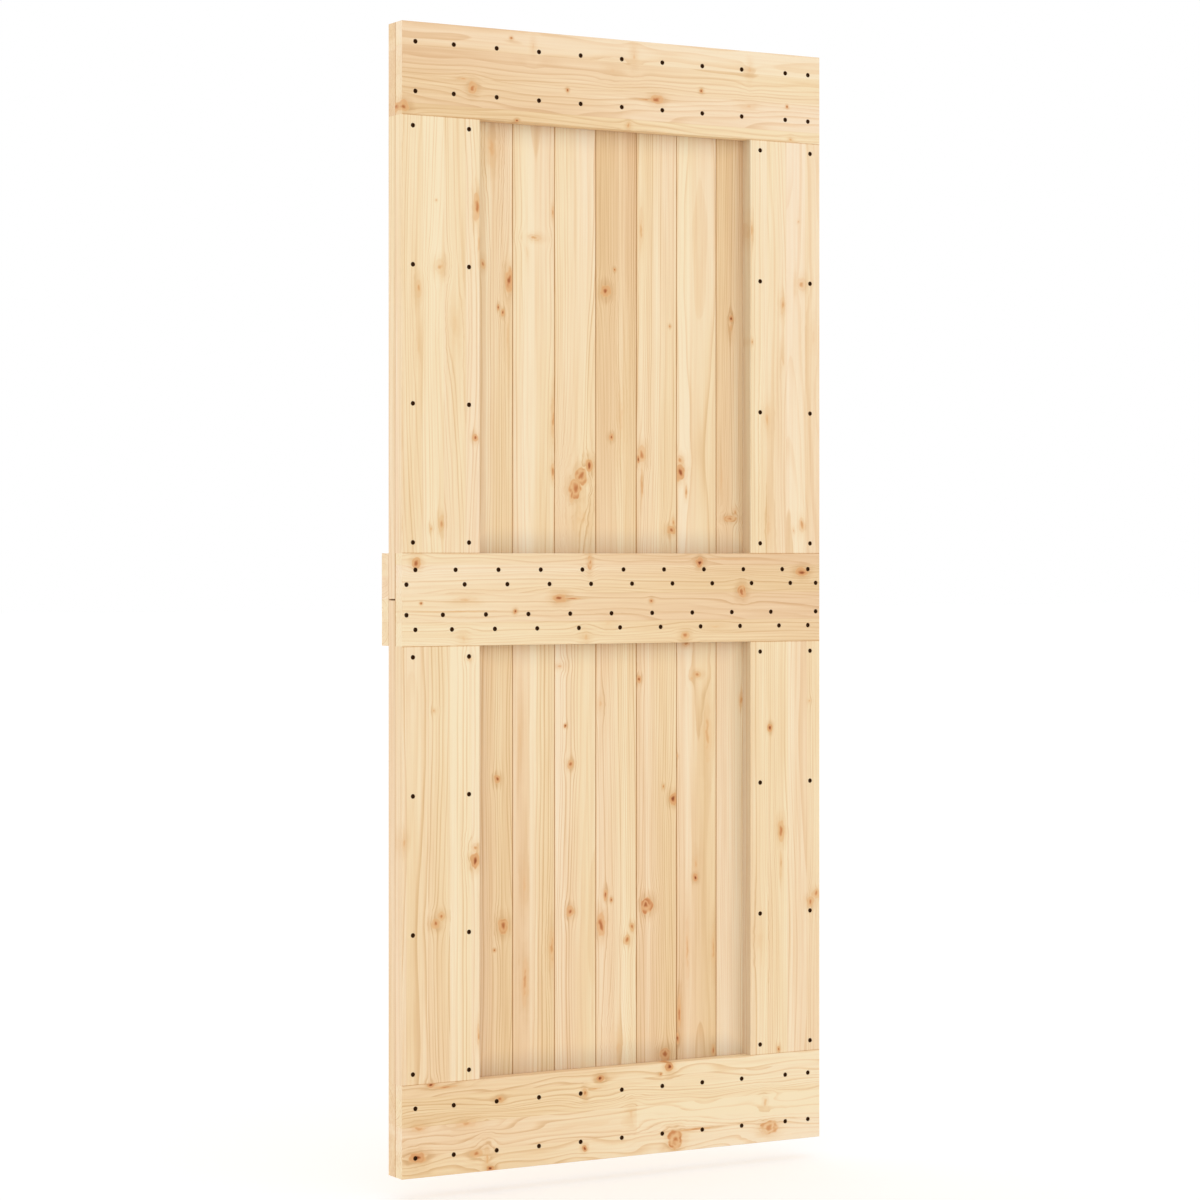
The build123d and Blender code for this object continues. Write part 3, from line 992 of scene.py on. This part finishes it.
HEAD = screw_head()
print("faces of a screw head", len(HEAD.polygons))

# %% [markdown]
# ## Where the screws go
# The rows follow the boards: two rows on the top and bottom rails, four staggered rows on the middle rail
# and two columns on each stile. The same spacings drilled the seats in the CAD boards. Each head sits a
# little below the face and is turned at random, as a driver leaves it.

# %% Screw places
# lengths in millimetres
DOOR_HEIGHT, RAIL_HEIGHT = 2085.0, 168.0
PLANK_CENTRES = [-345.2 + PLANK_PITCH * count for count in range(9)]
END_COLUMN, END_INNER_COLUMN, STILE_COLUMN = 423.0, 441.0, 371.0
RAIL_COLUMNS = [-END_COLUMN, *PLANK_CENTRES[:-1], STILE_COLUMN, END_COLUMN]
RAIL_ROWS = (36.0, 125.5)
MIDDLE_OUTER, MIDDLE_INNER = 30.0, 56.5
ZIGZAG_NEAR, ZIGZAG_FAR = 3.7, 22.2
STILE_SIDE, STILE_END, STILE_ROWS = 22.0, 19.5, 4


def middle_places():
    """Two rows for the upper planks and two for the lower ones, each pair staggered."""
    places = []
    for side in (1, -1):
        edge = -DOOR_HEIGHT / 2 + side * RAIL_HEIGHT / 2
        outer, inner = edge - side * MIDDLE_OUTER, edge - side * MIDDLE_INNER
        places += [(x + side * ZIGZAG_NEAR, outer) for x in PLANK_CENTRES]
        places += [(-END_COLUMN, outer), (END_COLUMN, outer)]
        places += [(x + side * ZIGZAG_FAR, inner) for x in PLANK_CENTRES]
        places += [(-END_INNER_COLUMN, inner), (END_INNER_COLUMN, inner)]
    return places


def stile_places(name):
    """Two columns of screws, evenly spaced along a stile."""
    low, high = [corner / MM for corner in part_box(name)]
    first, last = low.z + STILE_END, high.z - STILE_END
    step = (last - first) / (STILE_ROWS - 1)
    columns = (low.x + STILE_SIDE, high.x - STILE_SIDE)
    return [(x, first + row * step) for x in columns for row in range(STILE_ROWS)]


SCREW_PLACES = {
    "top_rail": [(x, -row) for row in RAIL_ROWS for x in RAIL_COLUMNS],
    "middle_rail": middle_places(),
    "bottom_rail": [(x, row - DOOR_HEIGHT) for row in RAIL_ROWS for x in RAIL_COLUMNS],
    **{name: stile_places(name) for name in STILES},
}
print("screws", {name: len(places) for name, places in SCREW_PLACES.items()})

# %% [markdown]
# ## Blackened steel
# The screws are blackened, not painted: a thin oxide skin that is browner and rougher in patches, with
# little shine left. A fine noise picks the colour and the roughness together.

# %% Screw finish
PATCHES = (700.0, 700.0, 700.0)
STEEL_TONES = ((0.3, srgb(44, 24, 8)), (0.7, srgb(70, 41, 16)))
PATCH_ROUGHNESS, STEEL_ROUGHNESS = 0.25, 0.45
STEEL_SPECULAR = 0.05
STEEL_BUMP, STEEL_HEIGHT = 0.2, 0.0001


def blackened_steel():
    """Dark steel with a thin oxide skin, a little browner and rougher in patches."""
    material, tree, shader = new_material("blackened_steel")
    place = tree.nodes.new("ShaderNodeTexCoord").outputs["Object"]
    patches = noise(tree, place, PATCHES, 3.0)[0]
    tree.links.new(ramp(tree, patches, STEEL_TONES), shader.inputs["Base Color"])
    rough = calc(tree, "MULTIPLY_ADD", patches, PATCH_ROUGHNESS, STEEL_ROUGHNESS)
    tree.links.new(rough, shader.inputs["Roughness"])
    shader.inputs["Specular IOR Level"].default_value = STEEL_SPECULAR
    add_bump(tree, shader, patches, STEEL_BUMP, STEEL_HEIGHT)
    return material


BLACKENED_STEEL = blackened_steel()
print("screw finish", BLACKENED_STEEL.name)

# %% [markdown]
# ## Drive the screws
# All screws of one board are joined into one piece, because 120 loose objects would be slow to handle. The
# head is copied into each seat, turned upright and moved, so that the piece itself stays at the origin.

# %% Drive the screws
HEAD_BELOW_FACE = 0.3
front_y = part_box("top_rail")[0].y / MM
for name, places in SCREW_PLACES.items():
    turn = random.Random(len(name) * 7 + len(places))
    shape = bmesh.new()
    for x, z in places:
        before = len(shape.verts)
        shape.from_mesh(HEAD)
        shape.verts.ensure_lookup_table()
        place = (
            Matrix.Scale(MM, 4)
            @ Matrix.Translation((x, front_y + HEAD_BELOW_FACE, z))
            @ Matrix.Rotation(math.radians(90), 4, "X")
            @ Matrix.Rotation(turn.uniform(0, math.pi / 2), 4, "Z")
        )
        bmesh.ops.transform(shape, matrix=place, verts=shape.verts[before:])
    mesh = bpy.data.meshes.new(f"{name}_screws")
    shape.to_mesh(mesh)
    shape.free()
    mesh.materials.append(BLACKENED_STEEL)
    screws = bpy.data.objects.new(f"{name}_screws", mesh)
    bpy.context.scene.collection.objects.link(screws)
    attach(screws, "root")
bpy.data.meshes.remove(HEAD)
print("screw pieces", len(SCREW_PLACES))

# %% [markdown]
# ## Floor and background
# The leaf is shown on a plain pale ground. A big flat grid serves as the floor. It is lit like any surface,
# so it keeps the soft shadow, and a little light of its own for the camera alone brings its open parts up
# to white, where it meets the white background without a line.

# %% Floor
FLOOR_DROP, FLOOR_SIZE = 0.04, 60.0
floor_shape = bmesh.new()
bmesh.ops.create_grid(floor_shape, x_segments=4, y_segments=4, size=FLOOR_SIZE)
bmesh.ops.translate(floor_shape, verts=floor_shape.verts, vec=(0, 0, cad_low.z - FLOOR_DROP))
floor_mesh = bpy.data.meshes.new("floor")
floor_shape.to_mesh(floor_mesh)
floor_shape.free()
floor = bpy.data.objects.new("floor", floor_mesh)
bpy.context.scene.collection.objects.link(floor)
print("floor at", round(cad_low.z - FLOOR_DROP, 3))

# %% Floor finish
FLOOR_GREY = (0.86, 0.86, 0.86, 1.0)
FLOOR_GLOW = 0.25


def seen_directly(tree):
    """1 for rays from the camera or through gloss and glass, else 0."""
    path = tree.nodes.new("ShaderNodeLightPath").outputs
    seen = plus(tree, path["Is Camera Ray"], path["Is Glossy Ray"])
    return calc(tree, "ADD", seen, path["Is Transmission Ray"], clamp=True)


ground, tree, shader = new_material("pale_floor")
shader.inputs["Base Color"].default_value = FLOOR_GREY
shader.inputs["Roughness"].default_value = 0.9
shader.inputs["Specular IOR Level"].default_value = 0.0
shader.inputs["Emission Color"].default_value = (1.0, 1.0, 1.0, 1.0)
glow = times(tree, seen_directly(tree), FLOOR_GLOW)
tree.links.new(glow, shader.inputs["Emission Strength"])
floor_mesh.materials.append(ground)
print("floor glow for the camera", FLOOR_GLOW)

# %% [markdown]
# ## Light
# The light is that of a studio tent: even from all sides and a little weaker from above, so the only shade
# lies in the recessed panels and the joints. A plain sky gives that shade, and the painted shade in the wood
# deepens it. The sky's level is set so that a colour renders as it is written. Rays that look straight at
# the sky see plain white.

# %% World
SKY_LEVEL = 1.42
OVERHEAD_LEVEL = 0.72
world = bpy.data.worlds.new("studio_tent")
bpy.context.scene.world = world
world.use_nodes = True
tree = world.node_tree
sky = tree.nodes["Background"]
sky.inputs["Color"].default_value = (1.0, 1.0, 1.0, 1.0)
_, _, height = parts(tree, tree.nodes.new("ShaderNodeTexCoord").outputs["Generated"])
light = fade(tree, height, 0.0, 1.0, SKY_LEVEL, OVERHEAD_LEVEL)
seen = seen_directly(tree)
unseen = times(tree, light, minus(tree, 1.0, seen))
tree.links.new(plus(tree, unseen, seen), sky.inputs["Strength"])
print("sky level", SKY_LEVEL, "overhead", OVERHEAD_LEVEL)

# %% [markdown]
# ## Camera
# The leaf is seen from a little left of its front at about mid height, from far enough away that its
# edges converge only slightly. The camera is level, so uprights stay upright, and a small shift sets the
# leaf in the middle of the picture.

# %% Camera
camera_data = bpy.data.cameras.new("camera")
camera_data.sensor_width = 36.0
camera_data.lens = 99.76
camera_data.shift_y = -0.03526
camera = bpy.data.objects.new("camera", camera_data)
camera.location = (-3.1210, -5.3875, -0.9665)
camera.rotation_euler = (math.radians(90.0), 0.0, math.radians(-29.895))
bpy.context.scene.collection.objects.link(camera)
bpy.context.scene.camera = camera
bpy.context.scene.view_settings.view_transform = "Standard"
print("camera", [round(value, 3) for value in camera.location])
